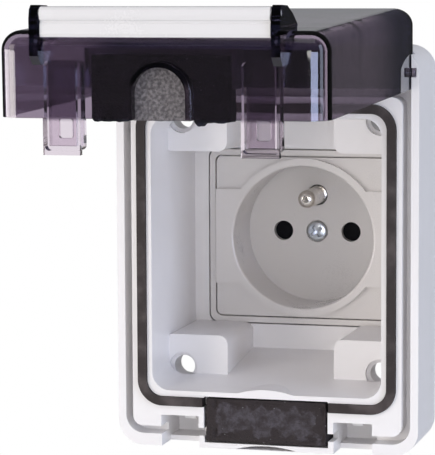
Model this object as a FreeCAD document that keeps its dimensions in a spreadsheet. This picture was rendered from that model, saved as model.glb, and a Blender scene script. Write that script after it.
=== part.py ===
import FreeCAD, Part
import math
import os

import Sketcher

# Outdoor weatherproof socket: a moulded box that stands on a wall, with a round well socket deep
# inside it and a smoked lid on top, standing open as it does for the plug to go in.
# Millimetres. Drawing coordinates: X to the right, depth Y into the wall from the front edge of
# the outer lip, height Z from the bottom edge. Every finished piece is then placed so that the
# origin is the centre of the four wall screws, on the wall.

SIZES = {
    # outer box
    "base_half_width": 39.2,
    "base_height": 102.6,
    "wall_stand": 23.4,
    "base_corner": 6.6,
    "shell_wall": 2.0,
    "front_plate": 8.5,
    # front edge: outer lip, moat for the edge of the lid, raised rim with the gasket
    "lip_width": 2.0,
    "moat_depth": 6.0,
    "lid_gap": 0.3,
    "rim_proud": 0.6,
    "rim_below_top": 12.3,
    "gasket_half_width": 33.7,
    "gasket_width": 2.5,
    "gasket_bottom": 10.6,
    "gasket_below_top": 14.0,
    "gasket_corner": 6.6,
    "gasket_seat": 2.4,
    "gasket_proud": 0.7,
    # cavity that the plug goes through
    "cavity_half_width": 29.9,
    "cavity_bottom": 14.6,
    "cavity_below_top": 17.7,
    "cavity_corner": 4.6,
    "cavity_back_half_width": 30.4,
    "cavity_back_bottom": 19.6,
    "cavity_back_below_top": 21.0,
    "cavity_depth": 42.2,
    "tub_wall": 2.2,
    # four screw bosses in the corners of the cavity
    "boss_inner_edge": 14.2,
    "boss_height": 26.7,
    "boss_front": 15.5,
    "boss_corner": 2.4,
    "boss_wall": 2.0,
    "screw_span": 52.6,
    "screw_low": 18.2,
    "screw_below_top": 19.2,
    "screw_hole": 5.6,
    "screw_recess": 7.6,
    "screw_recess_depth": 1.6,
    # latch pockets and their catches
    "latch_centre": 22.2,
    "pocket_inner": 17.6,
    "pocket_outer": 27.6,
    "pocket_bottom": 1.3,
    "pocket_top": 8.2,
    "notch_depth": 8.1,
    "pocket_depth": 16.0,
    "catch_width": 2.8,
    "catch_tip": 5.9,
    # foam seat and the arcs that a cable lies in
    "foam_half_width": 16.2,
    "foam_bottom": 1.4,
    "foam_top": 13.4,
    "foam_depth": 12.0,
    "foam_step": 10.0,
    "foam_corner": 0.8,
    "cable_arc_half": 7.9,
    "cable_arc_rise": 1.3,
    # hinge
    "hinge_depth": 1.0,
    "hinge_below_top": 6.2,
    "trunnion": 2.8,
    "trunnion_fit": 0.05,
    "trunnion_reach": 1.4,
    "snap_mouth": 2.3,
    # lid, as it stands open
    "lid_wall": 1.5,
    "lid_drop": 4.2,
    "lid_droop": 1.3,
    "lid_tail": 2.3,
    "lid_closed_bottom": 3.4,
    "lid_depth_hinge": 20.1,
    "lid_depth_front": 18.8,
    "lid_corner": 4.4,
    "arch_half_width": 5.9,
    "arch_height": 11.2,
    "arch_band": 1.1,
    "tongue_half_width": 4.2,
    "tongue_length": 8.0,
    "channel_back": 4.6,
    "channel_wall": 1.1,
    "channel_tip": 0.8,
    "channel_rise": 12.4,
    "window_width": 3.2,
    "window_height": 4.3,
    "window_start": 0.3,
    "ear_inner": 25.8,
    "ear_thick": 2.0,
    "ear_proud": 4.0,
    "ear_back": 11.5,
    "ear_rise": 5.8,
    "ear_drop": 12.9,
    "lid_foam_half_width": 15.8,
    "lid_foam_height": 13.8,
    "lid_foam_proud": 0.6,
    "lid_foam_thick": 4.4,
    # grip bar
    "bead": 2.8,
    "bead_ahead": 2.3,
    "bead_height": 22.9,
    "bar_gap": 0.3,
    "bar_drop": 5.2,
    "bar_thick": 1.4,
    "bar_step": 0.35,
    "bar_pin": 1.8,
    "bar_pin_reach": 1.7,
    # socket
    "well_height": 50.0,
    "plate_depth": 42.0,
    "plate_half_width": 24.2,
    "plate_half_height": 21.6,
    "plate_corner": 1.6,
    "plate_thick": 2.2,
    "cover_gap": 0.4,
    "frame_border": 1.5,
    "frame_flange": 2.6,
    "frame_depth": 5.2,
    "well_bore": 38.5,
    "well_wall": 2.1,
    "well_depth": 16.0,
    "well_floor": 2.2,
    "ring_proud": 1.2,
    "band_half_height": 12.8,
    "pin_spacing": 19.0,
    "pin_hole": 5.4,
    "earth_offset": 10.0,
    "earth_pin": 4.8,
    "earth_shoulder": 5.2,
    "earth_reach": 14.0,
    "earth_gap": 0.5,
    "cover_screw_head": 5.6,
    "cover_screw_shank": 3.0,
    "body_half_width": 21.4,
    "body_half_height": 20.4,
    "body_depth": 22.5,
    "body_corner": 3.0,
    "post_inset": 2.6,
    "shutter_thick": 1.6,
    "shutter_travel": 6.4,
    "shutter_bridge": 3.2,
    "channel_depth": 4.0,
    "channel_drop": 18.6,
    "spring_radius": 1.3,
    "spring_wire": 0.25,
    "contact_tube": 6.6,
    "contact_bore": 4.9,
    "contact_length": 13.0,
    "terminal_block": 7.6,
    "terminal_screw": 3.6,
    "body_cover": 2.0,
    "fit_gap": 0.3,
}

doc = FreeCAD.newDocument("weatherproof_socket")
sheet = doc.addObject("Spreadsheet::Sheet", "Sizes")
for row, (alias, value) in enumerate(SIZES.items(), start=1):
    sheet.set(f"A{row}", alias)
    sheet.set(f"B{row}", str(value))
    sheet.setAlias(f"B{row}", alias)
doc.recompute()


class Size:
    """A length with its number and the sheet expression that gives it."""

    def __init__(self, value, text):
        self.value = value
        self.text = text

    def __add__(self, other):
        other = as_size(other)
        return Size(self.value + other.value, f"({self.text} + {other.text})")

    def __radd__(self, other):
        return as_size(other) + self

    def __sub__(self, other):
        other = as_size(other)
        return Size(self.value - other.value, f"({self.text} - {other.text})")

    def __rsub__(self, other):
        return as_size(other) - self

    def __mul__(self, other):
        other = as_size(other)
        return Size(self.value * other.value, f"({self.text} * {other.text})")

    def __neg__(self):
        return Size(-self.value, f"(0 - {self.text})")


def as_size(value):
    return value if isinstance(value, Size) else Size(float(value), repr(float(value)))


class Sheet:
    """Gives each cell of the sheet by its name."""

    def __getattr__(self, alias):
        return Size(SIZES[alias], "Sizes." + alias)


s = Sheet()


def bind(thing, prop, value):
    """Ties a property to the sheet."""
    thing.setExpression(prop, as_size(value).text)


# Places that several pieces share.
lip_inner = s.base_half_width - s.lip_width
lid_half_width = lip_inner - s.lid_gap
rim_half_width = lid_half_width - s.lid_wall - s.lid_gap
rim_bottom = s.lid_closed_bottom + s.lid_wall + s.lid_gap
rim_corner = s.lid_corner - s.lid_wall - s.lid_gap
hinge_height = s.base_height - s.hinge_below_top
rim_top = s.base_height - s.rim_below_top
gasket_top = s.base_height - s.gasket_below_top
cavity_top = s.base_height - s.cavity_below_top
cavity_back_top = s.base_height - s.cavity_back_below_top
screw_high = s.base_height - s.screw_below_top
lid_rim = hinge_height - s.lid_drop
lid_back = s.hinge_depth + s.lid_tail
lid_front = s.hinge_depth - hinge_height + s.lid_closed_bottom
pattern_height = (s.screw_low + screw_high) * 0.5
screw_x = s.screw_span * 0.5
back_wall = s.cavity_depth + s.tub_wall + 0.3
well_front = s.plate_depth - s.ring_proud
well_floor_front = s.plate_depth + s.well_depth
well_floor_back = well_floor_front + s.well_floor
body_front = well_floor_back + s.fit_gap
body_back = body_front + s.body_depth
pin_x = s.pin_spacing * 0.5
earth_height = s.well_height + s.earth_offset
bead_depth = lid_front - s.bead_ahead
bead_z = lid_rim + s.bead_height
post_x = s.body_half_width - s.post_inset
post_z = s.body_half_height - s.post_inset + 0.2

NODES = []


def node(thing, label, depth=0, height=0):
    """Names a finished piece and sets it in the frame of the wall screws."""
    thing.Label = label
    bind(thing, ".Placement.Base.y", depth - s.wall_stand)
    bind(thing, ".Placement.Base.z", height - pattern_height)
    NODES.append(thing)
    return thing


def hung_node(thing, label):
    """A piece of the lid, which is drawn level and hangs a little below level on its hinge."""
    angle = math.radians(SIZES["lid_droop"])
    cosine = Size(math.cos(angle), "cos(Sizes.lid_droop * 1deg)")
    sine = Size(math.sin(angle), "sin(Sizes.lid_droop * 1deg)")
    thing.Placement = FreeCAD.Placement(FreeCAD.Vector(), FreeCAD.Rotation(AXIS_X, SIZES["lid_droop"]))
    thing.setExpression(".Placement.Rotation.Angle", "Sizes.lid_droop * 1deg")
    depth = s.hinge_depth - s.hinge_depth * cosine + hinge_height * sine
    height = hinge_height - s.hinge_depth * sine - hinge_height * cosine
    return node(thing, label, depth, height)


def new_body(name):
    return doc.addObject("PartDesign::Body", name + "_body")


def plane(body, role):
    for feature in body.Origin.OriginFeatures:
        if feature.Role == role:
            return feature
    raise ValueError("no plane " + role)


class Outline:
    """One sketch of a body. Its loops are added with constraints tied to the sheet."""

    # turn of the plane's own normal against the axis that the sketch is moved along
    NORMAL = {"XZ_Plane": -1, "YZ_Plane": 1, "XY_Plane": 1}

    def __init__(self, body, name, role, offset):
        self.sketch = body.newObject("Sketcher::SketchObject", name)
        self.sketch.AttachmentSupport = (plane(body, role), [""])
        self.sketch.MapMode = "FlatFace"
        bind(self.sketch, ".AttachmentOffset.Base.z", as_size(offset) * self.NORMAL[role])
        self.count = 0

    def rule(self, kind, *args, size=None):
        if size is None:
            self.sketch.addConstraint(Sketcher.Constraint(kind, *args))
            return
        value = as_size(size)
        index = self.sketch.addConstraint(Sketcher.Constraint(kind, *args, value.value))
        bind(self.sketch, f"Constraints[{index}]", value)

    def place(self, geometry, point, u, v):
        """Holds a point at (u, v), or to the sketch's own origin and axes where one is zero."""
        for kind, value, axis in (("DistanceX", u, -2), ("DistanceY", v, -1)):
            if isinstance(value, Size) or value:
                self.rule(kind, -1, 1, geometry, point, size=value)
            else:
                self.rule("PointOnObject", geometry, point, axis)

    def rectangle(self, left, right, low, high, radius=None):
        left, right, low, high = as_size(left), as_size(right), as_size(low), as_size(high)
        u0, u1, v0, v1 = left.value, right.value, low.value, high.value
        r = radius.value if radius is not None else 0.0
        vec = FreeCAD.Vector
        ends = [
            (vec(u0 + r, v0), vec(u1 - r, v0)),
            (vec(u1, v0 + r), vec(u1, v1 - r)),
            (vec(u1 - r, v1), vec(u0 + r, v1)),
            (vec(u0, v1 - r), vec(u0, v0 + r)),
        ]
        sides = [self.sketch.addGeometry(Part.LineSegment(a, b), False) for a, b in ends]
        if radius is None:
            for here, following in zip(sides, sides[1:] + sides[:1]):
                self.rule("Coincident", here, 2, following, 1)
        else:
            centres = [vec(u1 - r, v0 + r), vec(u1 - r, v1 - r), vec(u0 + r, v1 - r), vec(u0 + r, v0 + r)]
            arcs = []
            for turn, centre in enumerate(centres):
                start = -math.pi / 2 + turn * math.pi / 2
                circle = Part.Circle(centre, vec(0, 0, 1), r)
                arcs.append(self.sketch.addGeometry(Part.ArcOfCircle(circle, start, start + math.pi / 2), False))
            for here, arc, following in zip(sides, arcs, sides[1:] + sides[:1]):
                self.rule("Tangent", here, 2, arc, 1)
                self.rule("Tangent", arc, 2, following, 1)
            for arc in arcs[1:]:
                self.rule("Equal", arcs[0], arc)
            self.rule("Radius", arcs[0], size=radius)
        for index in (0, 2):
            self.rule("Horizontal", sides[index])
        for index in (1, 3):
            self.rule("Vertical", sides[index])
        self.rule("DistanceY", -1, 1, sides[0], 1, size=low)
        self.rule("DistanceX", -1, 1, sides[1], 1, size=right)
        self.rule("DistanceY", -1, 1, sides[2], 1, size=high)
        self.rule("DistanceX", -1, 1, sides[3], 1, size=left)
        return self

    def circle(self, u, v, diameter):
        centre = FreeCAD.Vector(as_size(u).value, as_size(v).value)
        shape = Part.Circle(centre, FreeCAD.Vector(0, 0, 1), as_size(diameter).value / 2)
        index = self.sketch.addGeometry(shape, False)
        self.rule("Diameter", index, size=diameter)
        self.place(index, 3, u, v)
        return self

    def polygon(self, points):
        """A closed loop of straight sides through (u, v) pairs."""
        corners = [FreeCAD.Vector(as_size(u).value, as_size(v).value) for u, v in points]
        sides = []
        for here, following in zip(corners, corners[1:] + corners[:1]):
            sides.append(self.sketch.addGeometry(Part.LineSegment(here, following), False))
        for here, following in zip(sides, sides[1:] + sides[:1]):
            self.rule("Coincident", here, 2, following, 1)
        for side, (u, v) in zip(sides, points):
            self.place(side, 1, u, v)
        return self

    def arch(self, half_width, low, height):
        """A round-topped opening: two upright sides, a half circle over them and a straight foot."""
        r, v0, v1 = half_width.value, low.value, (low + height).value
        vec = FreeCAD.Vector
        foot = self.sketch.addGeometry(Part.LineSegment(vec(-r, v0), vec(r, v0)), False)
        right = self.sketch.addGeometry(Part.LineSegment(vec(r, v0), vec(r, v1 - r)), False)
        top = Part.ArcOfCircle(Part.Circle(vec(0, v1 - r), vec(0, 0, 1), r), 0, math.pi)
        crown = self.sketch.addGeometry(top, False)
        left = self.sketch.addGeometry(Part.LineSegment(vec(-r, v1 - r), vec(-r, v0)), False)
        self.rule("Coincident", foot, 2, right, 1)
        self.rule("Tangent", right, 2, crown, 1)
        self.rule("Tangent", crown, 2, left, 1)
        self.rule("Coincident", left, 2, foot, 1)
        self.rule("Horizontal", foot)
        self.rule("Vertical", right)
        self.rule("Vertical", left)
        self.rule("Radius", crown, size=half_width)
        self.rule("PointOnObject", crown, 3, -2)
        self.rule("DistanceY", -1, 1, foot, 1, size=low)
        self.rule("DistanceY", -1, 1, crown, 3, size=low + height - half_width)
        return self

    def segment(self, half_width, base, rise):
        """A flat circular segment: a straight chord with a shallow arc over it."""
        w, v, h = half_width.value, base.value, rise.value
        radius = (w * w + h * h) / (2 * h)
        vec = FreeCAD.Vector
        angle = math.asin(w / radius)
        circle = Part.Circle(vec(0, v + h - radius), vec(0, 0, 1), radius)
        arc = self.sketch.addGeometry(
            Part.ArcOfCircle(circle, math.pi / 2 - angle, math.pi / 2 + angle), False
        )
        chord = self.sketch.addGeometry(Part.LineSegment(vec(-w, v), vec(w, v)), False)
        self.rule("Coincident", arc, 2, chord, 1)
        self.rule("Coincident", chord, 2, arc, 1)
        self.rule("PointOnObject", arc, 3, -2)
        self.place(chord, 2, half_width, base)
        self.rule("Horizontal", chord)
        self.rule("DistanceY", arc, 3, arc, 1, size=as_size(v) - as_size(v + h - radius))
        return self


def extrude(body, kind, outline, length, towards_wall=True, both_ways=False):
    """Pads or pockets a sketch over a length."""
    feature = body.newObject("PartDesign::" + kind, outline.sketch.Name + "_" + kind.lower())
    feature.Profile = outline.sketch
    bind(feature, "Length", length)
    if both_ways:
        feature.SideType = "Symmetric"
    elif kind == "Pad":
        feature.Reversed = towards_wall
    else:
        feature.Reversed = not towards_wall
    outline.sketch.Visibility = False
    return feature


def slab(body, name, start, end, draw, kind="Pad"):
    """A prism along the depth from start to end. draw adds the loops."""
    outline = Outline(body, name, "XZ_Plane", start)
    draw(outline)
    return extrude(body, kind, outline, end - start)


def cut(body, name, start, end, draw):
    return slab(body, name, start, end, draw, "Pocket")


def across(body, name, half_length, draw, kind="Pad"):
    """A prism along X, centred on the middle plane."""
    outline = Outline(body, name, "YZ_Plane", 0)
    draw(outline)
    return extrude(body, kind, outline, half_length * 2, both_ways=True)


def sideways(body, name, start, end, draw, kind="Pad"):
    """A prism along X from start to end."""
    outline = Outline(body, name, "YZ_Plane", start)
    draw(outline)
    feature = extrude(body, kind, outline, end - start)
    feature.Reversed = kind == "Pocket"
    return feature


def mirrored(body, features, role="YZ_Plane"):
    """Repeats features on the other side of the middle plane."""
    copy = body.newObject("PartDesign::Mirrored", features[-1].Name + "_mirrored")
    copy.Originals = features
    copy.MirrorPlane = (plane(body, role), [""])
    body.Tip = copy
    return copy


def edges_where(shape, test):
    return [f"Edge{i + 1}" for i, edge in enumerate(shape.Edges) if test(edge)]


def fillet(body, base, radius, test):
    """Rounds the edges of the last feature that pass the test."""
    doc.recompute()
    feature = body.newObject("PartDesign::Fillet", base.Name + "_fillet")
    feature.Base = (base, edges_where(base.Shape, test))
    bind(feature, "Radius", radius)
    return feature


def runs_along(edge, axis):
    """True for a straight edge in the direction of the axis."""
    if len(edge.Vertexes) < 2:
        return False
    step = edge.Vertexes[1].Point - edge.Vertexes[0].Point
    return abs(step.Length - edge.Length) < 1e-6 and abs(step.dot(axis)) > 0.999 * step.Length


AXIS_X = FreeCAD.Vector(1, 0, 0)
AXIS_Y = FreeCAD.Vector(0, 1, 0)
AXIS_Z = FreeCAD.Vector(0, 0, 1)


def make_base_housing():
    body = new_body("base_housing")
    inner = s.base_half_width - s.shell_wall
    rim = rim_half_width
    slab(body, "shell", as_size(0), s.wall_stand, lambda o: o.rectangle(
        -s.base_half_width, s.base_half_width, 0, s.base_height, s.base_corner))
    cut(body, "shell_inside", s.front_plate, s.wall_stand, lambda o: o.rectangle(
        -inner, inner, s.shell_wall, s.base_height - s.shell_wall, s.base_corner - s.shell_wall))
    slab(body, "rim", -s.rim_proud, s.front_plate, lambda o: o.rectangle(
        -rim, rim, rim_bottom, rim_top, rim_corner))
    # groove for the edge of the lid, open over the top where its tail turns
    beyond = s.base_height + s.lip_width
    cut(body, "moat", as_size(-0.1), s.moat_depth, lambda o: (
        o.rectangle(-lip_inner, lip_inner, s.lid_closed_bottom - s.lid_gap, beyond,
                    s.lid_corner + s.lid_gap),
        o.rectangle(-rim, rim, rim_bottom, rim_top, rim_corner)))
    # tub behind the rim and the tapering cavity in it
    wall = s.tub_wall
    tub = body.newObject("PartDesign::AdditiveLoft", "tub")
    mouth = Outline(body, "tub_front", "XZ_Plane", s.front_plate - 1.0)
    mouth.rectangle(-(s.cavity_half_width + wall), s.cavity_half_width + wall, s.cavity_bottom - wall,
                    cavity_top + wall, s.cavity_corner + wall)
    end = Outline(body, "tub_back", "XZ_Plane", back_wall)
    end.rectangle(-(s.cavity_back_half_width + wall), s.cavity_back_half_width + wall,
                  s.cavity_back_bottom - wall, cavity_back_top + wall, s.cavity_corner + wall)
    tub.Profile = mouth.sketch
    tub.Sections = [end.sketch]
    cavity = body.newObject("PartDesign::SubtractiveLoft", "cavity")
    mouth = Outline(body, "cavity_front", "XZ_Plane", -s.rim_proud)
    mouth.rectangle(-s.cavity_half_width, s.cavity_half_width, s.cavity_bottom, cavity_top, s.cavity_corner)
    end = Outline(body, "cavity_back", "XZ_Plane", s.cavity_depth)
    end.rectangle(-s.cavity_back_half_width, s.cavity_back_half_width, s.cavity_back_bottom,
                  cavity_back_top, s.cavity_corner)
    cavity.Profile = mouth.sketch
    cavity.Sections = [end.sketch]
    # screw bosses: blocks in the four corners, open from behind
    outer = s.cavity_back_half_width + wall * 0.5
    top_edge = pattern_height * 2 - s.boss_height
    hollow_edge = s.boss_inner_edge + s.boss_wall
    hollow_front = s.wall_stand
    clear = s.base_half_width - s.shell_wall - 1.0
    corners = (
        ("low", s.cavity_bottom - 1.0, s.boss_height, s.cavity_bottom - 4.5, s.boss_height - s.boss_wall, s.screw_low),
        ("high", top_edge, cavity_top + 1.0, top_edge + s.boss_wall, cavity_top + 4.5, screw_high),
    )
    for name, bottom, top, hollow_bottom, hollow_top, screw_z in corners:
        block = slab(body, name + "_boss", s.boss_front, back_wall, lambda o: o.rectangle(
            s.boss_inner_edge, outer, bottom, top, s.boss_corner))
        mirrored(body, [block])
        hollow = cut(body, name + "_boss_hollow", hollow_front, back_wall + 1.0, lambda o: o.rectangle(
            hollow_edge, clear, hollow_bottom, hollow_top, s.boss_corner - 1.0))
        mirrored(body, [hollow])
        hole = cut(body, name + "_screw_hole", s.boss_front - 1.0, hollow_front + 1.0, lambda o: o.circle(
            screw_x, screw_z, s.screw_hole))
        recess = cut(body, name + "_screw_recess", s.boss_front - 1.0, s.boss_front + s.screw_recess_depth,
                     lambda o: o.circle(screw_x, screw_z, s.screw_recess))
        mirrored(body, [hole, recess])
    # opening in the back wall for the socket frame
    hole_x = s.plate_half_width + s.cover_gap + s.frame_border + s.cover_gap
    hole_z = s.plate_half_height + s.cover_gap + s.frame_border + s.cover_gap
    cut(body, "frame_opening", s.cavity_depth - 1.0, back_wall + 1.0, lambda o: o.rectangle(
        -hole_x, hole_x, s.well_height - hole_z, s.well_height + hole_z, s.plate_corner + 1.0))
    # gasket groove in the rim
    groove_in = s.gasket_half_width - s.gasket_width
    cut(body, "gasket_groove", -s.rim_proud - 0.1, s.gasket_seat, lambda o: (
        o.rectangle(-s.gasket_half_width, s.gasket_half_width, s.gasket_bottom, gasket_top, s.gasket_corner),
        o.rectangle(-groove_in, groove_in, s.gasket_bottom + s.gasket_width, gasket_top - s.gasket_width,
                    s.gasket_corner - s.gasket_width)))
    # latch pockets with a catch under the top of each
    block = slab(body, "pocket_block", s.moat_depth, s.pocket_depth + s.shell_wall, lambda o: o.rectangle(
        s.pocket_inner - s.shell_wall, s.pocket_outer + s.shell_wall, 0.5, s.pocket_top + s.shell_wall))
    mirrored(body, [block])
    pocket = cut(body, "pocket", as_size(-2.0), s.pocket_depth, lambda o: o.rectangle(
        s.pocket_inner, s.pocket_outer, s.pocket_bottom, s.pocket_top))
    notch = cut(body, "pocket_notch", as_size(-2.0), s.notch_depth, lambda o: o.rectangle(
        s.pocket_inner, s.pocket_outer, as_size(-1.0), s.pocket_bottom + 1.0))
    mirrored(body, [pocket, notch])
    catch_front = s.moat_depth
    catch = sideways(body, "catch", s.latch_centre - s.catch_width * 0.5, s.latch_centre + s.catch_width * 0.5,
                     lambda o: o.polygon([
                         (catch_front, s.pocket_top + 0.5),
                         (catch_front + 3.2, s.pocket_top + 0.5),
                         (catch_front + 3.2, s.catch_tip),
                         (catch_front + 2.2, s.catch_tip),
                     ]))
    mirrored(body, [catch])
    # foam seat between the pockets, with a raised arc over it and a shallow arc under it
    cut(body, "foam_seat", as_size(-2.0), s.foam_depth, lambda o: o.rectangle(
        -s.foam_half_width, s.foam_half_width, s.foam_bottom, s.foam_top))
    slab(body, "cable_arc", -s.rim_proud, s.front_plate, lambda o: o.segment(
        s.cable_arc_half, s.cavity_bottom - 0.2, s.cable_arc_rise))
    cut(body, "cable_notch", as_size(-2.0), s.moat_depth, lambda o: o.segment(
        s.cable_arc_half, s.foam_bottom - s.cable_arc_rise, s.cable_arc_rise * 0.8))
    # snap-in seats for the trunnions, in the inner sides of the outer lip
    seat_end = lid_half_width + s.trunnion_reach + 0.15
    seat = sideways(body, "trunnion_seat", lip_inner - 0.5, seat_end, lambda o: o.circle(
        s.hinge_depth, hinge_height, s.trunnion + s.trunnion_fit * 2), "Pocket")
    mouth = sideways(body, "trunnion_mouth", lip_inner - 0.5, seat_end, lambda o: o.rectangle(
        -3.0, s.hinge_depth, hinge_height - s.snap_mouth * 0.5, hinge_height + s.snap_mouth * 0.5), "Pocket")
    mirrored(body, [seat, mouth])
    return node(body, "base_housing")


def make_rim_gasket():
    body = new_body("rim_gasket")
    front = -s.rim_proud - s.gasket_proud
    side = 0.1
    outer = s.gasket_half_width - side
    inner = s.gasket_half_width - s.gasket_width + side
    slab(body, "gasket_ring", front, s.gasket_seat, lambda o: (
        o.rectangle(-outer, outer, s.gasket_bottom + side, gasket_top - side, s.gasket_corner - side),
        o.rectangle(-inner, inner, s.gasket_bottom + s.gasket_width - side,
                    gasket_top - s.gasket_width + side, s.gasket_corner - s.gasket_width + side)))
    gap = s.foam_half_width + s.fit_gap
    cut(body, "foam_break", front - 1.0, s.gasket_seat + 1.0, lambda o: o.rectangle(
        -gap, gap, s.gasket_bottom - 2.0, s.gasket_bottom + s.gasket_width + 2.0))
    return node(body, "rim_gasket")


def make_cable_foam():
    body = new_body("cable_foam")
    side = s.foam_half_width - s.fit_gap
    low = s.foam_bottom + s.fit_gap
    high = s.foam_top - s.fit_gap
    slab(body, "foam_block", -s.rim_proud, s.foam_depth - s.fit_gap, lambda o: o.rectangle(
        -side, side, low, high, s.foam_corner))
    cut(body, "foam_step_cut", -s.rim_proud - 1.0, s.moat_depth, lambda o: o.rectangle(
        -s.foam_half_width, s.foam_half_width, low - 1.0, s.foam_step))
    return node(body, "cable_foam")


def make_socket_frame():
    body = new_body("socket_frame")
    border_x = s.plate_half_width + s.cover_gap + s.frame_border
    border_z = s.plate_half_height + s.cover_gap + s.frame_border
    low, high = s.well_height - border_z, s.well_height + border_z
    slab(body, "frame_rim", s.plate_depth, back_wall + 1.0, lambda o: o.rectangle(
        -border_x, border_x, low, high, s.plate_corner + 0.8))
    wide_x = border_x + s.frame_flange
    wide_low, wide_high = low - s.frame_flange, high + s.frame_flange
    slab(body, "frame_flange_plate", back_wall, s.plate_depth + s.frame_depth, lambda o: o.rectangle(
        -wide_x, wide_x, wide_low, wide_high, s.plate_corner + 0.8))
    seat_x = s.plate_half_width + s.cover_gap
    seat_z = s.plate_half_height + s.cover_gap
    cut(body, "cover_seat", s.plate_depth - 1.0, s.plate_depth + s.plate_thick, lambda o: o.rectangle(
        -seat_x, seat_x, s.well_height - seat_z, s.well_height + seat_z, s.plate_corner + 0.2))
    bore = s.well_bore + s.well_wall * 2 + s.fit_gap * 2
    cut(body, "well_passage", s.plate_depth - 1.0, s.plate_depth + s.frame_depth + 1.0, lambda o: o.circle(
        0, s.well_height, bore))
    posts = slab(body, "frame_post", s.plate_depth + s.frame_depth - 1.0, body_front, lambda o: o.circle(
        post_x, s.well_height + post_z, 5.0))
    low_post = slab(body, "frame_post_low", s.plate_depth + s.frame_depth - 1.0, body_front,
                    lambda o: o.circle(post_x, s.well_height - post_z, 5.0))
    mirrored(body, [posts, low_post])
    return node(body, "socket_frame")


def make_socket_cover():
    body = new_body("socket_cover")
    low, high = s.well_height - s.plate_half_height, s.well_height + s.plate_half_height
    slab(body, "plate", s.plate_depth, s.plate_depth + s.plate_thick, lambda o: o.rectangle(
        -s.plate_half_width, s.plate_half_width, low, high, s.plate_corner))
    slab(body, "band", well_front, s.plate_depth + 0.5, lambda o: o.rectangle(
        -s.plate_half_width, s.plate_half_width, s.well_height - s.band_half_height,
        s.well_height + s.band_half_height))
    ring = s.well_bore + s.well_wall * 2
    slab(body, "well_wall", well_front, well_floor_back, lambda o: o.circle(0, s.well_height, ring))
    bore = cut(body, "well", well_front - 1.0, well_floor_front, lambda o: o.circle(0, s.well_height, s.well_bore))
    doc.recompute()
    rim = fillet(body, bore, as_size(0.6), lambda e: isinstance(e.Curve, Part.Circle)
                 and abs(e.Curve.Center.y - well_front.value) < 1e-3
                 and abs(e.Curve.Radius * 2 - SIZES["well_bore"]) < 1e-3)
    body.Tip = rim
    holes = cut(body, "pin_holes", well_floor_front - 1.0, well_floor_back + 1.0, lambda o: (
        o.circle(-pin_x, s.well_height, s.pin_hole),
        o.circle(pin_x, s.well_height, s.pin_hole),
        o.circle(0, earth_height, s.earth_pin + s.earth_gap * 2),
        o.circle(0, s.well_height, s.cover_screw_shank + 0.4)))
    cut(body, "screw_sink", well_floor_front - 1.0, well_floor_front + 0.9, lambda o: o.circle(
        0, s.well_height, s.cover_screw_head + 0.5))
    return node(body, "socket_cover")


def make_centre_screw():
    body = new_body("centre_screw")
    head_front = well_floor_front - 0.9
    slab(body, "screw_head", head_front, well_floor_front + 0.9, lambda o: o.circle(
        0, s.well_height, s.cover_screw_head))
    slab(body, "screw_shank", well_floor_front, body_front + 8.0, lambda o: o.circle(
        0, s.well_height, s.cover_screw_shank))
    arm = s.cover_screw_head * 0.33
    width = s.cover_screw_head * 0.09
    cut(body, "driver_slot", head_front - 1.0, head_front + 1.3, lambda o: o.polygon([
        (-arm, s.well_height - width), (-width, s.well_height - width), (-width, s.well_height - arm),
        (width, s.well_height - arm), (width, s.well_height - width), (arm, s.well_height - width),
        (arm, s.well_height + width), (width, s.well_height + width), (width, s.well_height + arm),
        (-width, s.well_height + arm), (-width, s.well_height + width), (-arm, s.well_height + width)]))
    return node(body, "centre_screw")


def make_earth_pin():
    body = new_body("earth_pin")
    tip = well_floor_front - s.earth_reach
    slab(body, "pin_shoulder", well_floor_front, body_front + 9.0, lambda o: o.circle(
        0, earth_height, s.earth_shoulder))
    slab(body, "pin_shaft", tip, well_floor_front + 1.0, lambda o: o.circle(0, earth_height, s.earth_pin))
    shaft = slab(body, "pin_collar", body_front + 4.0, body_front + 6.0, lambda o: o.circle(
        0, earth_height, s.earth_pin + 2.4))
    fillet(body, shaft, s.earth_pin * 0.36, lambda e: isinstance(e.Curve, Part.Circle) and abs(
        e.Curve.Center.y - tip.value) < 1e-3)
    return node(body, "earth_pin")


def shutter_gap(o):
    """Front recess of the socket body that the shutter slides in."""
    side = pin_x + s.pin_hole * 0.5 + 1.2
    high = s.pin_hole * 0.5 + 1.5
    low = s.pin_hole * 0.5 + s.shutter_bridge + s.shutter_travel + 1.6
    o.rectangle(-side, side, s.well_height - low, s.well_height + high)


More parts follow.
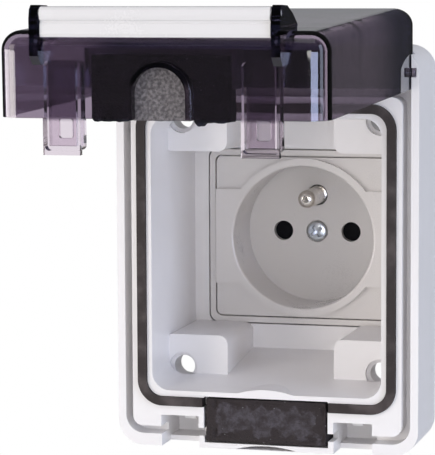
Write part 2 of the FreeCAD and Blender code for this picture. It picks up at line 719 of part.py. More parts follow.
def make_mechanism_housing():
    body = new_body("mechanism_housing")
    low, high = s.well_height - s.body_half_height, s.well_height + s.body_half_height
    slab(body, "block", body_front, body_back, lambda o: o.rectangle(
        -s.body_half_width, s.body_half_width, low, high, s.body_corner))
    cut(body, "shutter_recess", body_front - 1.0, body_front + s.shutter_thick + 0.9, shutter_gap)
    cut(body, "spring_channel", body_front - 1.0, body_front + s.channel_depth, lambda o: o.rectangle(
        -2.0, 2.0, s.well_height - s.channel_drop, s.well_height - 6.0))
    tube = s.contact_tube + 0.6
    for name, x, z in (("left", -pin_x, s.well_height), ("right", pin_x, s.well_height)):
        cut(body, name + "_contact_bore", body_front + 1.0, body_back + 1.0, lambda o: o.circle(x, z, tube))
    cut(body, "earth_bore", body_front - 1.0, body_back + 1.0, lambda o: o.circle(
        0, earth_height, s.earth_shoulder + 0.1))
    cut(body, "earth_collar_bore", body_front + 3.9, body_back + 1.0, lambda o: o.circle(
        0, earth_height, s.earth_pin + 3.0))
    cut(body, "screw_bore", body_front - 1.0, body_front + 9.0, lambda o: o.circle(
        0, s.well_height, s.cover_screw_shank + 0.1))
    half = s.terminal_block * 0.5 + 0.3
    block_front = body_front + s.contact_length + 1.2
    cut(body, "terminal_chambers", block_front, body_back + 1.0, lambda o: (
        o.rectangle(-pin_x - half, -pin_x + half, s.well_height - half - 2.0, s.well_height + half),
        o.rectangle(pin_x - half, pin_x + half, s.well_height - half - 2.0, s.well_height + half),
        o.rectangle(-half, half, earth_height - half + 1.0, earth_height + half + 1.0)))
    for name, z in (("high", s.well_height + post_z), ("low", s.well_height - post_z)):
        hole = cut(body, name + "_body_screw", body_front - 1.0, body_back + 1.0, lambda o: o.circle(post_x, z, 3.2))
        mirrored(body, [hole])
    return node(body, "mechanism_housing")


def make_contact(name, x):
    """A slotted brass tube for a plug pin, with its terminal block behind."""
    body = new_body(name)
    front = body_front + s.shutter_thick + 1.4
    block_front = body_front + s.contact_length + 1.6
    half = s.terminal_block * 0.5
    slab(body, name + "_block", block_front, body_back - 0.3, lambda o: o.rectangle(
        x - half, x + half, s.well_height - half - 1.7, s.well_height + half, as_size(0.6)))
    slab(body, name + "_tube", front, block_front + 0.5, lambda o: o.circle(x, s.well_height, s.contact_tube))
    cut(body, name + "_bore", front - 1.0, block_front, lambda o: o.circle(x, s.well_height, s.contact_bore))
    cut(body, name + "_slot", front - 1.0, front + 9.0, lambda o: o.rectangle(
        x - 0.4, x + 0.4, s.well_height - s.contact_tube, s.well_height + s.contact_tube))
    cut(body, name + "_wire_hole", block_front + 1.0, body_back, lambda o: o.circle(
        x, s.well_height - half + 0.6, 2.6))
    return node(body, name)


def make_earth_strap():
    body = new_body("earth_strap")
    half = s.terminal_block * 0.5
    front = body_front + s.contact_length + 1.6
    slab(body, "strap_block", front, body_back - 0.3, lambda o: o.rectangle(
        -half, half, earth_height - half + 1.3, earth_height + half + 0.7, as_size(0.6)))
    slab(body, "strap_neck", body_front + 9.2, front + 0.5, lambda o: o.circle(0, earth_height, s.earth_pin + 1.6))
    return node(body, "earth_strap")


def make_terminal_screws():
    screws = []
    for index, (x, z) in enumerate(((-pin_x, s.well_height + 1.6), (pin_x, s.well_height + 1.6),
                                    (0, earth_height + 1.6))):
        head = doc.addObject("Part::Cylinder", f"terminal_head_{index}")
        bind(head, "Radius", s.terminal_screw * 0.5)
        bind(head, "Height", s.body_cover + 0.9)
        bind(head, ".Placement.Base.x", x)
        bind(head, ".Placement.Base.y", body_back + s.body_cover + 0.6)
        bind(head, ".Placement.Base.z", z)
        head.Placement.Rotation = FreeCAD.Rotation(AXIS_X, 90)
        slot = doc.addObject("Part::Box", f"terminal_slot_{index}")
        bind(slot, "Length", s.terminal_screw + 1.0)
        bind(slot, "Width", as_size(1.6))
        bind(slot, "Height", as_size(0.7))
        bind(slot, ".Placement.Base.x", as_size(x) - s.terminal_screw * 0.5 - 0.5)
        bind(slot, ".Placement.Base.y", body_back + s.body_cover - 0.2)
        bind(slot, ".Placement.Base.z", z - 0.35)
        screw = doc.addObject("Part::Cut", f"terminal_screw_{index}")
        screw.Base = head
        screw.Tool = slot
        screws.append(screw)
    group = doc.addObject("Part::Compound", "terminal_screws_group")
    group.Links = screws
    return node(group, "terminal_screws")


def make_mechanism_cover():
    body = new_body("mechanism_cover")
    low, high = s.well_height - s.body_half_height, s.well_height + s.body_half_height
    slab(body, "cover_plate", body_back, body_back + s.body_cover, lambda o: o.rectangle(
        -s.body_half_width, s.body_half_width, low, high, s.body_corner))
    access = s.terminal_screw + 0.6
    cut(body, "access_holes", body_back - 1.0, body_back + s.body_cover + 1.0, lambda o: (
        o.circle(-pin_x, s.well_height + 1.6, access),
        o.circle(pin_x, s.well_height + 1.6, access),
        o.circle(0, earth_height + 1.6, access)))
    cut(body, "wire_holes", body_back - 1.0, body_back + s.body_cover + 1.0, lambda o: (
        o.circle(-pin_x, s.well_height - s.terminal_block * 0.5 + 0.6, 2.8),
        o.circle(pin_x, s.well_height - s.terminal_block * 0.5 + 0.6, 2.8)))
    for name, z in (("high", s.well_height + post_z), ("low", s.well_height - post_z)):
        hole = cut(body, name + "_cover_screw", body_back - 1.0, body_back + s.body_cover + 1.0,
                   lambda o: o.circle(post_x, z, 3.2))
        mirrored(body, [hole])
    return node(body, "mechanism_cover")


def make_mechanism_screws():
    """Four screws from behind, through the socket body, up to the posts of the frame."""
    back = body_back + s.body_cover
    parts = []
    for index, (side, turn) in enumerate(((1, 1), (-1, 1), (1, -1), (-1, -1))):
        z = s.well_height + post_z * turn
        for name, radius, start, length in (("shank", as_size(1.5), body_front, back - body_front),
                                            ("head", as_size(2.5), back, as_size(1.8))):
            piece = doc.addObject("Part::Cylinder", f"body_screw_{name}_{index}")
            bind(piece, "Radius", radius)
            bind(piece, "Height", length)
            bind(piece, ".Placement.Base.x", post_x * side)
            bind(piece, ".Placement.Base.y", start + length)
            bind(piece, ".Placement.Base.z", z)
            piece.Placement.Rotation = FreeCAD.Rotation(AXIS_X, 90)
            parts.append(piece)
    screws = []
    for index in range(4):
        whole = doc.addObject("Part::Fuse", f"body_screw_{index}")
        whole.Base = parts[2 * index]
        whole.Tool = parts[2 * index + 1]
        screws.append(whole)
    group = doc.addObject("Part::Compound", "mechanism_screws_group")
    group.Links = screws
    return node(group, "mechanism_screws")


def make_frame_screws():
    """Four short screws that hold the flange of the frame to the back wall of the tub."""
    border_x = s.plate_half_width + s.cover_gap + s.frame_border
    border_z = s.plate_half_height + s.cover_gap + s.frame_border
    back = s.plate_depth + s.frame_depth
    screws = []
    for index, (side, turn) in enumerate(((1, 1), (-1, 1), (1, -1), (-1, -1))):
        head = doc.addObject("Part::Cone", f"frame_screw_{index}")
        bind(head, "Radius1", as_size(1.9))
        bind(head, "Radius2", as_size(1.3))
        bind(head, "Height", as_size(1.6))
        bind(head, ".Placement.Base.x", (border_x + 0.6) * side)
        bind(head, ".Placement.Base.y", back)
        bind(head, ".Placement.Base.z", s.well_height + (border_z - 4.0) * turn)
        head.Placement.Rotation = FreeCAD.Rotation(AXIS_X, -90)
        screws.append(head)
    group = doc.addObject("Part::Compound", "frame_screws_group")
    group.Links = screws
    return node(group, "frame_screws")


def make_shutter():
    body = new_body("shutter")
    front = body_front + s.fit_gap
    blade = s.pin_hole * 0.5 + 0.8
    inner = pin_x - blade
    outer = pin_x + blade
    high = s.well_height + blade
    low = s.well_height - blade
    slab(body, "blades", front, front + s.shutter_thick, lambda o: o.polygon([
        (-outer, high), (-inner, high), (-inner, low), (inner, low), (inner, high), (outer, high),
        (outer, low - s.shutter_bridge), (-outer, low - s.shutter_bridge)]))
    return node(body, "shutter")


def make_shutter_spring():
    """A small coil that pushes the shutter back up."""
    top = s.well_height - s.pin_hole * 0.5 - 0.8 - s.shutter_bridge
    bottom = s.well_height - s.channel_drop
    wire = s.spring_wire.value
    length = (top - bottom).value - 2 * wire
    helix = Part.makeHelix(length / 6, length, s.spring_radius.value)
    section = Part.Circle(helix.Vertexes[0].Point, FreeCAD.Vector(0, 1, 0.3), wire)
    spring = doc.addObject("Part::Feature", "shutter_spring_coil")
    spring.Shape = Part.Wire(helix.Edges).makePipeShell([Part.Wire(Part.Edge(section))], True, True)
    return node(spring, "shutter_spring", body_front + s.channel_depth * 0.5, bottom + s.spring_wire)


def lid_profile(o, wall):
    """Side view of the lid: flat rim, upright ends, a top that falls towards the front.
    wall is how far inside the outer faces the loop runs. The inner one passes the rim."""
    top_back = lid_rim + s.lid_depth_hinge - wall
    top_front = lid_rim + s.lid_depth_front - wall
    rim = lid_rim - wall
    o.polygon([(lid_front + wall, rim), (lid_back - wall, rim), (lid_back - wall, top_back),
               (lid_front + wall, top_front)])


def make_lid_shell():
    body = new_body("lid_shell")
    across(body, "lid_block", lid_half_width, lambda o: lid_profile(o, as_size(0)))
    hollow = across(body, "lid_hollow", lid_half_width - s.lid_wall, lambda o: lid_profile(o, s.lid_wall), "Pocket")
    rim = lid_rim.value
    front, side, wall = lid_front.value, lid_half_width.value, SIZES["lid_wall"]

    def rounded(edge, inset):
        """True for the front corners and the edges round the top, of the faces that lie inset."""
        box = edge.BoundBox
        if runs_along(edge, AXIS_Z):
            return abs(box.YMin - (front + inset)) < 0.01
        if runs_along(edge, AXIS_X):
            return box.ZMin > rim + 5 and abs(box.XMax - (side - inset)) < 0.01
        return box.ZMin > rim + 5 and abs(abs(box.XMax) - (side - inset)) < 0.01

    outer = fillet(body, hollow, s.lid_corner, lambda e: rounded(e, 0.0))
    fillet(body, outer, s.lid_corner - s.lid_wall, lambda e: rounded(e, wall))
    # round-topped opening for a cable in the front wall, with a thicker band round it
    slab(body, "arch_band", lid_front - 0.5, lid_front + s.lid_wall, lambda o: o.arch(
        s.arch_half_width + s.arch_band, lid_rim, s.arch_height + s.arch_band))
    cut(body, "arch_opening", lid_front - 2.0, lid_front + s.lid_wall + 1.0, lambda o: o.arch(
        s.arch_half_width, lid_rim - 1.0, s.arch_height + 1.0))
    # latch tongues: a flat plate below the wall and, behind it, a channel whose back has a window
    left = s.latch_centre - s.tongue_half_width
    right = s.latch_centre + s.tongue_half_width
    tip = lid_rim - s.tongue_length
    back = lid_front + s.channel_back
    tongue = slab(body, "tongue", lid_front, lid_front + s.lid_wall, lambda o: o.rectangle(
        left, right, tip, lid_rim + 2.0))
    channel = slab(body, "tongue_channel", lid_front + 0.5, back, lambda o: o.rectangle(
        left, right, tip + s.channel_tip, lid_rim + s.channel_rise, s.channel_wall))
    hollow = cut(body, "channel_hollow", lid_front + s.lid_wall, back - s.channel_wall, lambda o: o.rectangle(
        left + s.channel_wall, right - s.channel_wall, tip + s.channel_tip + s.channel_wall,
        lid_rim + s.channel_rise + 1.0))
    half_window = s.window_width * 0.5
    window_top = lid_rim - s.window_start
    window = cut(body, "window", back - s.channel_wall - 0.5, back + 1.0, lambda o: o.rectangle(
        s.latch_centre - half_window, s.latch_centre + half_window, window_top - s.window_height, window_top,
        as_size(0.6)))
    mirrored(body, [tongue, channel, hollow, window])
    # ears that carry the grip bar
    ear_top = lid_rim + s.lid_depth_front + s.ear_rise
    near = lid_front - s.ear_proud
    ear = sideways(body, "ear", s.ear_inner, s.ear_inner + s.ear_thick, lambda o: o.polygon([
        (near, ear_top - 3.0), (near + 0.5, ear_top - 0.9), (near + 1.6, ear_top),
        (near + 6.5, ear_top - 0.3), (near + 11.4, ear_top - 2.2), (near + s.ear_proud + s.ear_back, ear_top - 4.6),
        (near + s.ear_proud + s.ear_back - 0.6, ear_top - s.ear_rise - 0.8),
        (near + s.ear_proud + 1.0, ear_top - s.ear_rise - 0.8),
        (near + s.ear_proud + 1.0, ear_top - s.ear_drop), (near + 2.0, ear_top - s.ear_drop),
        (near, ear_top - s.ear_drop + 2.0)]))
    bore = sideways(body, "bar_bore", s.ear_inner - 0.5, s.ear_inner + s.ear_thick + 0.5, lambda o: o.circle(
        bead_depth, bead_z, s.bar_pin + 0.1), "Pocket")
    mirrored(body, [ear, bore])
    # trunnions
    trunnion = sideways(body, "trunnion", lid_half_width - 0.5, lid_half_width + s.trunnion_reach,
                        lambda o: o.circle(s.hinge_depth, hinge_height, s.trunnion))
    mirrored(body, [trunnion])
    return hung_node(body, "lid_shell")


def make_lid_foam():
    body = new_body("lid_foam")
    front = lid_front + s.lid_wall + 0.3
    low = lid_rim - s.lid_foam_proud
    top = lid_rim + s.lid_foam_height
    slab(body, "lid_foam_block", front, front + s.lid_foam_thick, lambda o: o.rectangle(
        -s.lid_foam_half_width, s.lid_foam_half_width, low, top, as_size(0.6)))
    hollow = s.arch_half_width + s.arch_band
    cut(body, "lid_foam_arch", front - 1.0, front + s.lid_foam_thick + 1.0, lambda o: o.arch(
        hollow, low - 1.0, s.arch_height + s.arch_band + s.lid_foam_proud + 1.0))
    return hung_node(body, "lid_foam")


def make_arch_foam():
    body = new_body("arch_foam")
    front = lid_front + s.lid_wall + 0.3
    inner = s.arch_half_width + s.arch_band - s.fit_gap
    slab(body, "arch_foam_block", front, front + s.lid_foam_thick, lambda o: o.arch(
        inner, lid_rim - s.lid_foam_proud, s.arch_height + s.arch_band + s.lid_foam_proud - s.fit_gap))
    return hung_node(body, "arch_foam")


def make_grip_bar():
    body = new_body("grip_bar")
    half = s.ear_inner - s.bar_gap
    across(body, "bead", half, lambda o: o.circle(bead_depth, bead_z, s.bead))
    face = bead_depth - s.bead * 0.5 + s.bar_step
    across(body, "flap", half, lambda o: o.rectangle(
        face, face + s.bar_thick, bead_z - s.bar_drop, bead_z))
    across(body, "pins", s.ear_inner + s.bar_pin_reach, lambda o: o.circle(bead_depth, bead_z, s.bar_pin))
    return hung_node(body, "grip_bar")


make_base_housing()
make_rim_gasket()
make_cable_foam()
make_socket_frame()
make_frame_screws()
make_socket_cover()
make_centre_screw()
make_earth_pin()
make_earth_strap()
make_mechanism_housing()
make_mechanism_cover()
make_mechanism_screws()
make_contact("live_contact", pin_x)
make_contact("neutral_contact", -pin_x)
make_terminal_screws()
make_shutter()
make_shutter_spring()
make_lid_shell()
make_lid_foam()
make_arch_foam()
make_grip_bar()
doc.recompute()

problems = []
for thing in doc.Objects:
    if "Invalid" in thing.State or "Error" in thing.State:
        problems.append(f"{thing.Name} is {thing.State}")
for thing in doc.Objects:
    if thing.isDerivedFrom("PartDesign::FeatureAddSub") and thing.BaseFeature is not None:
        if thing.Shape.isNull() or thing.BaseFeature.Shape.isNull():
            continue
        if abs(thing.Shape.Volume - thing.BaseFeature.Shape.Volume) < 1e-6:
            problems.append(f"{thing.Name} changes nothing")
for thing in NODES:
    if thing.Shape.isNull() or not thing.Shape.isValid():
        problems.append(f"{thing.Label} has no valid shape")
if problems:
    raise RuntimeError("; ".join(problems))

os.makedirs("parts", exist_ok=True)
for thing in NODES:
    thing.Shape.exportStep(f"parts/{thing.Label}.step")
    box = thing.Shape.BoundBox
    print(f"{thing.Label}: {len(thing.Shape.Solids)} solid, {thing.Shape.Volume:.0f} mm3,"
          f" x {box.XMin:.1f} {box.XMax:.1f}, y {box.YMin:.1f} {box.YMax:.1f}, z {box.ZMin:.1f} {box.ZMax:.1f}")
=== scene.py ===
import logging
import math
from dataclasses import dataclass
from enum import Enum
from typing import Iterable, Sequence

import bmesh
import bpy
from mathutils import Matrix, Vector, noise


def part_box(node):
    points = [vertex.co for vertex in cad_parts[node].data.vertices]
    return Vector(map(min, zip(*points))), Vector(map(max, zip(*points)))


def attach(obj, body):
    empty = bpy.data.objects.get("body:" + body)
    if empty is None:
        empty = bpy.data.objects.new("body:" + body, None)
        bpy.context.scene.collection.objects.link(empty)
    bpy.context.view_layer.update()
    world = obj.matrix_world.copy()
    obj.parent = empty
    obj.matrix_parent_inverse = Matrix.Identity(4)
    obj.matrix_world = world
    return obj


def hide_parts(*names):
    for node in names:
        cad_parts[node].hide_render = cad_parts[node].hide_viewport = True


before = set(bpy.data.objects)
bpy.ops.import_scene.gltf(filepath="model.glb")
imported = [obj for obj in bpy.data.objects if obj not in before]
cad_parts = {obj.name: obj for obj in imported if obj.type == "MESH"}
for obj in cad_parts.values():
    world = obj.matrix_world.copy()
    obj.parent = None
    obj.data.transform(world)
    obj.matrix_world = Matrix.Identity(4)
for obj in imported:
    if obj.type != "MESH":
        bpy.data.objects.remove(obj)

log = logging.getLogger("weatherproof_socket")
MM = 0.001

Colour = tuple[float, float, float]
Point = tuple[float, float, float]
Corner = tuple[float, float]


class Body(Enum):
    """The bodies of the frame that the scene's own pieces ride on."""

    BASE = "base"
    LID = "lid"
    BAR = "grip_bar"


class Channel:
    """A node socket that takes part in Python arithmetic."""

    def __init__(self, paint: "Paint", socket: bpy.types.NodeSocket) -> None:
        """Wraps one output socket.

        Args:
            paint: The material's node tree, which gets the Math nodes.
            socket: The output that carries the value.
        """
        self.paint = paint
        self.socket = socket

    def _math(self, operation: str, *values: "Channel | float") -> "Channel":
        """Adds one Math node.

        Args:
            operation: The node's operation.
            *values: Its inputs in order.

        Returns:
            The node's result.
        """
        return self.paint.node("ShaderNodeMath", {"operation": operation}, dict(enumerate(values)))

    def __add__(self, other: "Channel | float") -> "Channel":
        """Sum of two values."""
        return self._math("ADD", self, other)

    def __radd__(self, other: float) -> "Channel":
        """Sum of a number and this value."""
        return self._math("ADD", other, self)

    def __sub__(self, other: "Channel | float") -> "Channel":
        """Difference of two values."""
        return self._math("SUBTRACT", self, other)

    def __rsub__(self, other: float) -> "Channel":
        """A number less this value, so that 1 - mask turns a mask round."""
        return self._math("SUBTRACT", other, self)

    def __mul__(self, other: "Channel | float") -> "Channel":
        """Product of two values."""
        return self._math("MULTIPLY", self, other)

    def __abs__(self) -> "Channel":
        """The value without its sign."""
        return self._math("ABSOLUTE", self)

    def between(self, low: float, high: float) -> "Channel":
        """Smooth step of this value.

        Args:
            low: Where the step is still 0.
            high: Where it has reached 1.

        Returns:
            A mask from 0 to 1.
        """
        settings = {"interpolation_type": "SMOOTHSTEP"}
        return self.paint.node("ShaderNodeMapRange", settings, {0: self, 1: low, 2: high, 3: 0.0, 4: 1.0})


class Paint:
    """The node tree of one material, with a Principled shader at its end."""

    def __init__(self, name: str) -> None:
        """Makes the material and its shader.

        Args:
            name: The material's name.
        """
        self.material = bpy.data.materials.new(name)
        self.material.use_nodes = True
        self.tree = self.material.node_tree
        self.tree.nodes.clear()
        end = self.tree.nodes.new("ShaderNodeOutputMaterial")
        self.shader = self.tree.nodes.new("ShaderNodeBsdfPrincipled")
        self.tree.links.new(self.shader.outputs[0], end.inputs["Surface"])

    def node(
        self,
        kind: str,
        settings: dict[str, object] | None = None,
        inputs: dict[str | int, object] | None = None,
        output: int | str = 0,
    ) -> Channel:
        """Adds a node of any type.

        Args:
            kind: The node's type.
            settings: Its properties.
            inputs: Numbers, colours or channels by the input's name or place.
            output: The output that is wanted.

        Returns:
            The wanted output.
        """
        made = self.tree.nodes.new(kind)
        for key, value in (settings or {}).items():
            setattr(made, key, value)
        for key, value in (inputs or {}).items():
            if isinstance(value, Channel):
                self.tree.links.new(value.socket, made.inputs[key])
            else:
                made.inputs[key].default_value = value
        return Channel(self, made.outputs[output])

    def place(self) -> Channel:
        """Place on the object in metres, the same for all pieces."""
        return self.node("ShaderNodeTexCoord", output="Object")

    def axis(self, number: int) -> Channel:
        """One coordinate of the place on the object.

        Args:
            number: 0 for X, 1 for Y and 2 for Z.

        Returns:
            The coordinate in metres.
        """
        return self.node("ShaderNodeSeparateXYZ", {}, {0: self.place()}, output=number)

    def grain(self, size: float, detail: float = 2.0, stretch: Point = (1.0, 1.0, 1.0)) -> Channel:
        """Cloudy noise.

        Args:
            size: Width of a cloud in metres.
            detail: Octaves of finer clouds.
            stretch: How many times finer it is along each axis.

        Returns:
            A value that varies round 0.5.
        """
        scaled = self.node("ShaderNodeMapping", {}, {"Vector": self.place(), "Scale": stretch})
        return self.node("ShaderNodeTexNoise", {}, {"Vector": scaled, "Scale": 1.0 / size, "Detail": detail})

    def cells(self, size: float) -> Channel:
        """Distance to the nearest of many scattered points.

        Args:
            size: Width of a cell in metres.

        Returns:
            The distance, in cells.
        """
        return self.node("ShaderNodeTexVoronoi", {}, {"Vector": self.place(), "Scale": 1.0 / size})

    def mix(self, mask: Channel | float, low: object, high: object) -> Channel:
        """Blends two colours.

        Args:
            mask: 0 gives low and 1 gives high.
            low: First colour.
            high: Second colour.

        Returns:
            The blended colour.
        """
        def tint(value: object) -> object:
            """A colour with its alpha, or a channel as it is."""
            return value if isinstance(value, Channel) else (*value, 1.0)
        inputs = {0: mask, 6: tint(low), 7: tint(high)}
        return self.node("ShaderNodeMix", {"data_type": "RGBA"}, inputs, output=2)

    def bump(self, height: Channel, distance: float) -> Channel:
        """Turns a height into a normal.

        Args:
            height: Height from 0 to 1.
            distance: How far 1 stands out, in metres.

        Returns:
            The normal.
        """
        return self.node("ShaderNodeBump", {}, {"Height": height, "Distance": distance, "Strength": 1.0})

    def surface(self, **inputs: object) -> bpy.types.Material:
        """Sets the shader's sockets.

        Args:
            **inputs: Values or channels, with the sockets' names in lower case and underscores.

        Returns:
            The finished material.
        """
        sockets = {socket.name.lower().replace(" ", "_"): socket for socket in self.shader.inputs}
        for key, value in inputs.items():
            if isinstance(value, Channel):
                self.tree.links.new(value.socket, sockets[key])
            elif isinstance(value, tuple) and len(value) == 3 and sockets[key].type == "RGBA":
                sockets[key].default_value = (*value, 1.0)
            else:
                sockets[key].default_value = value
        return self.material


@dataclass(frozen=True)
class MouldedPlastic:
    """Opaque moulded plastic with a fine spark-eroded skin and a little handling dirt.

    The colour turns to the shade in broad flow marks and in specks, by the share that dirt gives.
    """

    colour: Colour
    shade: Colour
    roughness: float = 0.38
    skin: float = 0.35 * MM
    relief: float = 0.006 * MM
    dirt: float = 0.12
    ior: float = 1.5
    flow: float = 14 * MM
    speck: float = 1.4 * MM

    def material(self, name: str) -> bpy.types.Material:
        """Builds the finish.

        Args:
            name: The material's name.

        Returns:
            The material.
        """
        paint = Paint(name)
        flow = paint.grain(self.flow, 3.0)
        specks = paint.grain(self.speck, 2.0).between(0.62, 0.8)
        dirt = flow.between(0.3, 0.75) * self.dirt + specks * (self.dirt * 0.4)
        skin = paint.grain(self.skin, 2.0)
        return paint.surface(
            base_color=paint.mix(dirt, self.colour, self.shade),
            roughness=self.roughness + (flow - 0.5) * 0.18 + (skin - 0.5) * 0.1,
            normal=paint.bump(skin, self.relief),
            ior=self.ior,
        )


@dataclass(frozen=True)
class SmokedPlastic:
    """Clear tinted plastic, pale in the thin tongues and nearly black in the thick ears.

    The four colours are those of the walls, of the painted shade on the walls near the hinge, of the tongues
    and hinge stubs below and beside the rim, and of the ears. The places are those of the open lid: its rim's
    height, the depth of its front, the height of its top wall, half its width and the depths between which
    the painted shade darkens the walls.
    """

    wall: Colour = (0.29, 0.235, 0.31)
    # Painted shade: the colour that the walls darken to towards the hinge.
    hinge_shade: Colour = (0.05, 0.046, 0.085)
    tongue: Colour = (0.76, 0.69, 0.76)
    ear: Colour = (0.005, 0.005, 0.013)
    rim_height: float = 39.6 * MM
    front: float = -115.45 * MM
    top: float = 58.1 * MM
    half_width: float = 36.95 * MM
    # Depths between which the painted shade comes in on the walls.
    shade_starts: float = -69 * MM
    shade_full: float = -32 * MM
    ears_end: float = -98 * MM
    roughness: float = 0.03
    flow: float = 20 * MM
    scratch: float = 1.1 * MM
    ripple: float = 9 * MM
    relief: float = 0.05 * MM

    def material(self, name: str) -> bpy.types.Material:
        """Builds the finish.

        Args:
            name: The material's name.

        Returns:
            The material.
        """
        paint = Paint(name)
        depth, height = paint.axis(1), paint.axis(2)
        flow = paint.grain(self.flow, 2.0)
        wall = paint.mix(flow.between(0.3, 0.7) * 0.25, self.wall, tuple(0.8 * c for c in self.wall))
        # Painted shade: the walls darken towards the hinge.
        wall = paint.mix(depth.between(self.shade_starts, self.shade_full), wall, self.hinge_shade)
        body = paint.mix(height.between(self.rim_height - 1.2 * MM, self.rim_height), self.tongue, wall)
        stub = abs(paint.axis(0)).between(self.half_width, self.half_width + 0.1 * MM)
        ahead = 1 - depth.between(self.front - 0.5 * MM, self.front - 0.1 * MM)
        before = height.between(self.rim_height + 6 * MM, self.rim_height + 8 * MM) * ahead
        above = height.between(self.top, self.top + 0.5 * MM)
        above = above * (1 - depth.between(self.ears_end - 2 * MM, self.ears_end))
        scratches = paint.grain(self.scratch, 1.0, (0.06, 1.0, 1.0)).between(0.66, 0.74)
        return paint.surface(
            base_color=paint.mix(
                (before + above).between(0.0, 1.0), paint.mix(stub, body, self.tongue), self.ear
            ),
            roughness=self.roughness + scratches * 0.1,
            normal=paint.bump(paint.grain(self.ripple, 1.0), self.relief),
            transmission_weight=1.0,
            ior=1.49,
        )


@dataclass(frozen=True)
class Foam:
    """Closed-cell foam with paler clouds where it is rubbed and a few pale crumbs.

    The clouds are as wide as cloud says and turn to the worn colour as their noise goes from low to high. The
    patch, if there is one, is the only part that is rubbed: half its width and the heights of its edges.
    """

    colour: Colour
    worn: Colour
    cloud: float
    low: float
    high: float
    crumbs: float
    patch: tuple[float, float, float] | None = None
    crumb: Colour = (0.42, 0.42, 0.44)
    crumb_gap: float = 2.1 * MM
    pore: float = 0.6 * MM
    cell: float = 0.5 * MM
    relief: float = 0.3 * MM
    frayed: float = 11 * MM

    def material(self, name: str) -> bpy.types.Material:
        """Builds the finish.

        Args:
            name: The material's name.

        Returns:
            The material.
        """
        paint = Paint(name)
        broad = paint.grain(self.cloud, 5.0)
        fine = paint.grain(self.pore, 3.0)
        worn = broad.between(self.low, self.high) * (0.35 + fine * 1.3)
        if self.patch:
            worn = worn * self._rubbed(paint)
        dots = (1 - paint.cells(self.crumb_gap).between(0.05, 0.1)) * self.crumbs
        height = fine * 0.9 + broad * 0.8 - paint.cells(self.cell) * 0.5
        return paint.surface(
            base_color=paint.mix(dots, paint.mix(worn, self.colour, self.worn), self.crumb),
            roughness=0.78 + (fine - 0.5) * 0.3,
            normal=paint.bump(height, self.relief),
            specular_ior_level=0.12,
        )

    def _rubbed(self, paint: Paint) -> Channel:
        """Mask of the middle of a block, which is rubbed more than its corners.

        Args:
            paint: The material.

        Returns:
            1 inside the patch and 0 outside.
        """
        half, low, high = self.patch
        edge = (paint.grain(4 * MM, 4.0) - 0.5) * self.frayed
        width, height = abs(paint.axis(0)), paint.axis(2)
        across = (half - width + edge).between(0.0, 1.4 * MM)
        over = (height - low + edge).between(0.0, 1.2 * MM)
        under = (high - height + edge).between(0.0, 1.2 * MM)
        return across * over * under


@dataclass(frozen=True)
class Rubber:
    """Soft black rubber with a satin skin and some grey bloom."""

    colour: Colour
    bloom: Colour
    cloud: float = 6 * MM
    pore: float = 0.5 * MM
    relief: float = 0.02 * MM

    def material(self, name: str) -> bpy.types.Material:
        """Builds the finish.

        Args:
            name: The material's name.

        Returns:
            The material.
        """
        paint = Paint(name)
        cloud = paint.grain(self.cloud, 3.0)
        fine = paint.grain(self.pore, 2.0)
        bloom = cloud.between(0.4, 0.75) * 0.6 + fine.between(0.6, 0.8) * 0.2
        return paint.surface(
            base_color=paint.mix(bloom, self.colour, self.bloom),
            roughness=0.5 + (cloud - 0.5) * 0.3,
            normal=paint.bump(fine, self.relief),
            specular_ior_level=0.15,
        )


@dataclass(frozen=True)
class Plated:
    """Plated or plain metal with turning marks and a little tarnish.

    The stretch says how many times finer the marks are along each axis.
    """

    colour: Colour
    tarnish: Colour
    roughness: float
    stretch: Point = (1.0, 6.0, 1.0)
    cloud: float = 1.6 * MM
    mark: float = 0.3 * MM
    relief: float = 0.006 * MM

    def material(self, name: str) -> bpy.types.Material:
        """Builds the finish.

        Args:
            name: The material's name.

        Returns:
            The material.
        """
        paint = Paint(name)
        cloud = paint.grain(self.cloud, 3.0)
        marks = paint.grain(self.mark, 1.0, self.stretch)
        return paint.surface(
            base_color=paint.mix(cloud.between(0.45, 0.75) * 0.5, self.colour, self.tarnish),
            metallic=1.0,
            roughness=self.roughness + (cloud - 0.5) * 0.2,
            normal=paint.bump(marks, self.relief),
        )


def ring_loops(bm: bmesh.types.BMesh, loops: Sequence[Sequence[Point]]) -> None:
    """Joins rings of points into a skin and closes its ends.

    Args:
        bm: The mesh that gets the faces.
        loops: Rings of equal length, each in the same turning order.
    """
    rows = [[bm.verts.new(p) for p in loop] for loop in loops]
    count = len(rows[0])
    for low, high in zip(rows, rows[1:]):
        for i in range(count):
            bm.faces.new((low[i], low[(i + 1) % count], high[(i + 1) % count], high[i]))
    bm.faces.new(rows[0][::-1])
    bm.faces.new(rows[-1])


def finish_mesh(name: str, bm: bmesh.types.BMesh, smooth_below: float = 0.6) -> bpy.types.Object:
    """Turns a bmesh into an object in the scene.

    Args:
        name: The object's name.
        bm: The mesh, which is freed.
        smooth_below: Angle in radians under which edges are smooth.

    Returns:
        The object.
    """
    bmesh.ops.recalc_face_normals(bm, faces=bm.faces)
    mesh = bpy.data.meshes.new(name)
    bm.to_mesh(mesh)
    bm.free()
    for polygon in mesh.polygons:
        polygon.use_smooth = True
    mesh.set_sharp_from_angle(angle=smooth_below)
    made = bpy.data.objects.new(name, mesh)
    bpy.context.scene.collection.objects.link(made)
    return made


def settle(
    made: bpy.types.Object, body: Body, material: bpy.types.Material, slot: str, *nodes: str
) -> bpy.types.Object:
    """Gives a new piece its material and body, and hides the CAD nodes that it stands for.

    Args:
        made: The piece.
        body: What it rides on.
        material: Its finish.
        slot: Not used.
        *nodes: The CAD nodes that it stands for.

    Returns:
        The same piece.
    """
    made.data.materials.clear()
    made.data.materials.append(material)
    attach(made, body.value)
    if nodes:
        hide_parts(*nodes)
    log.info("%s rides on %s, %d faces", made.name, body.value, len(made.data.polygons))
    return made


